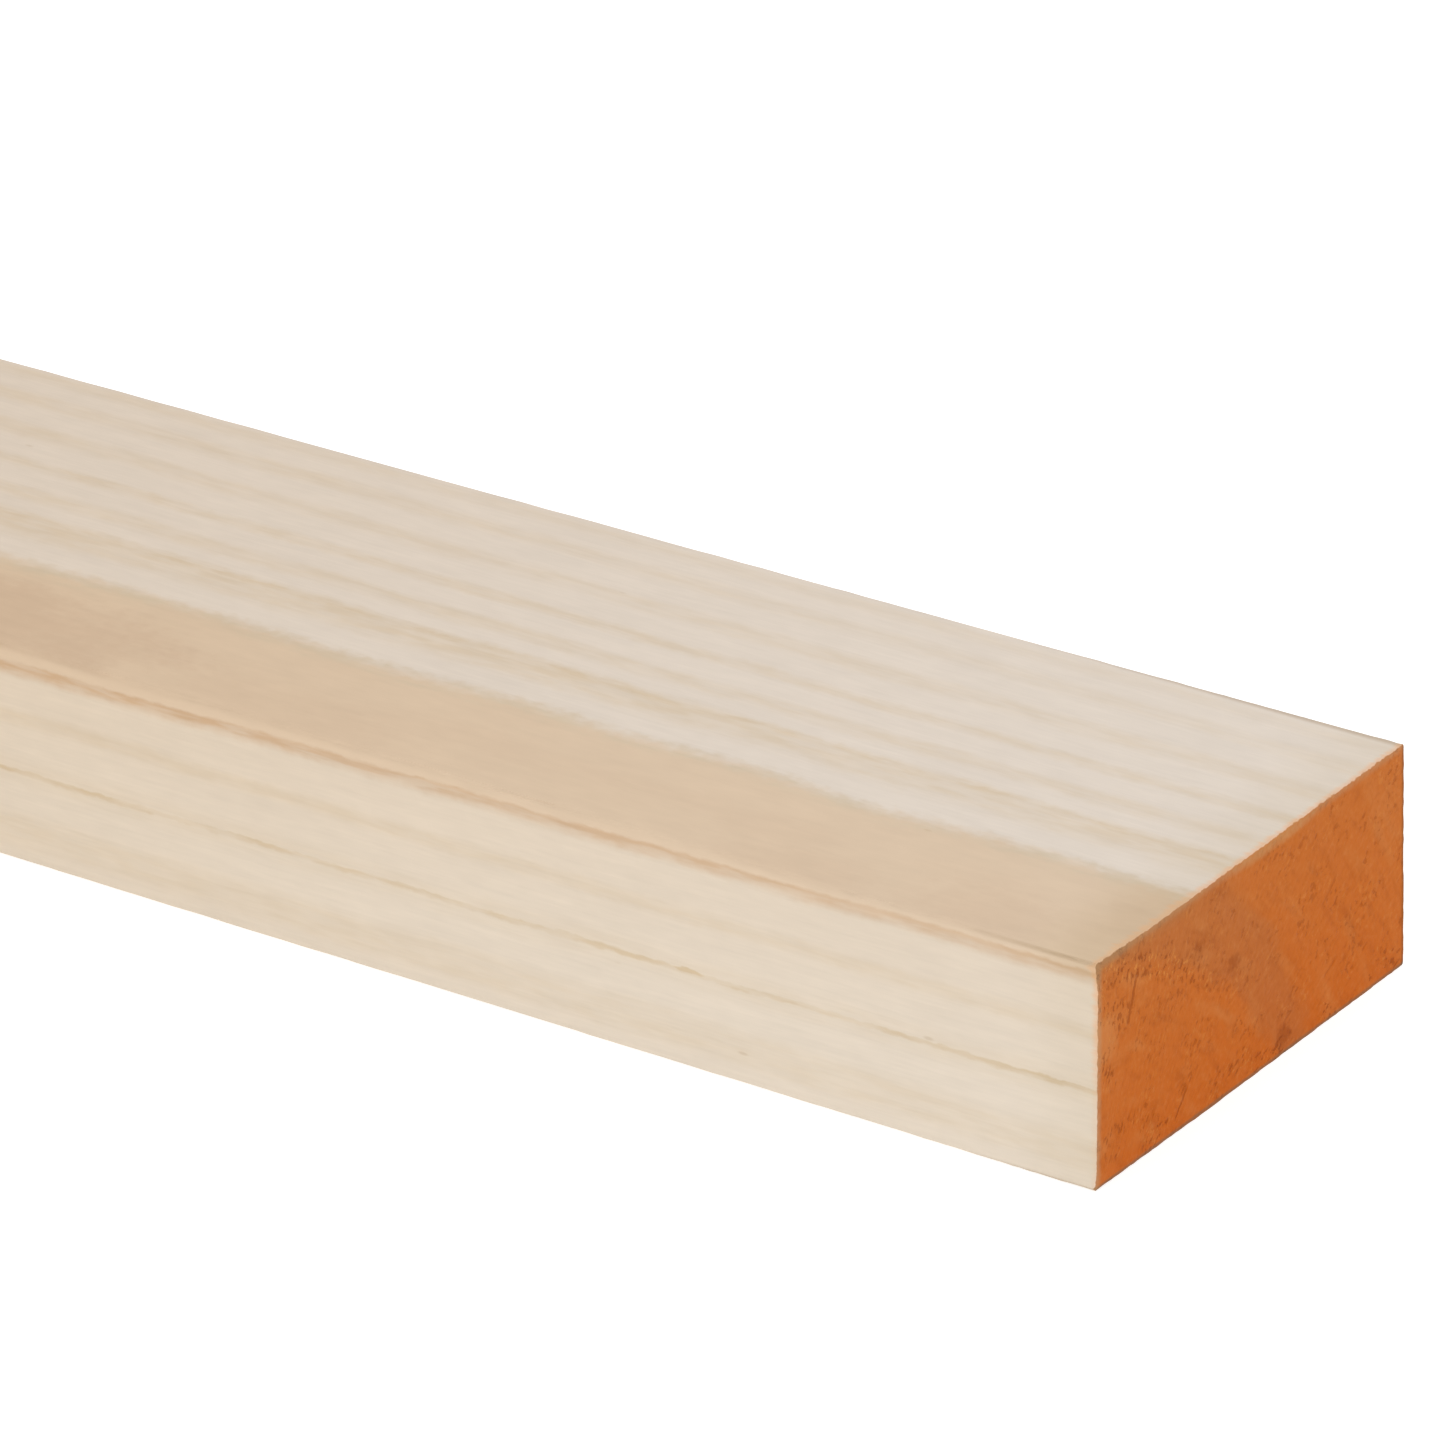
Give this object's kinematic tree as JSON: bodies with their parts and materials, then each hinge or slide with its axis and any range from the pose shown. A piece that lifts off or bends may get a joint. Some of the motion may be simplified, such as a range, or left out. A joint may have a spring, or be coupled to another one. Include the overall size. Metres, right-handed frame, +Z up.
{
  "type": "lumber plank",
  "caption": "Straight planed softwood plank of rectangular section with lightly eased long edges and orange-sealed sawn ends, for framing and general carpentry.",
  "frame": {"origin": "centre of the underside, midway along the length and the width", "axes": "+X along the grain, towards the end that the picture shows; +Y across the width; +Z up, through the thickness"},
  "size_m": [2.438, 0.089, 0.038],
  "materials": {
    "timber": "planed bare whitewood with a flat, dry surface; sawn ends sealed with thin orange paint"
  },
  "bodies": {
    "root": {"plank": "timber"}
  },
  "joints": []
}
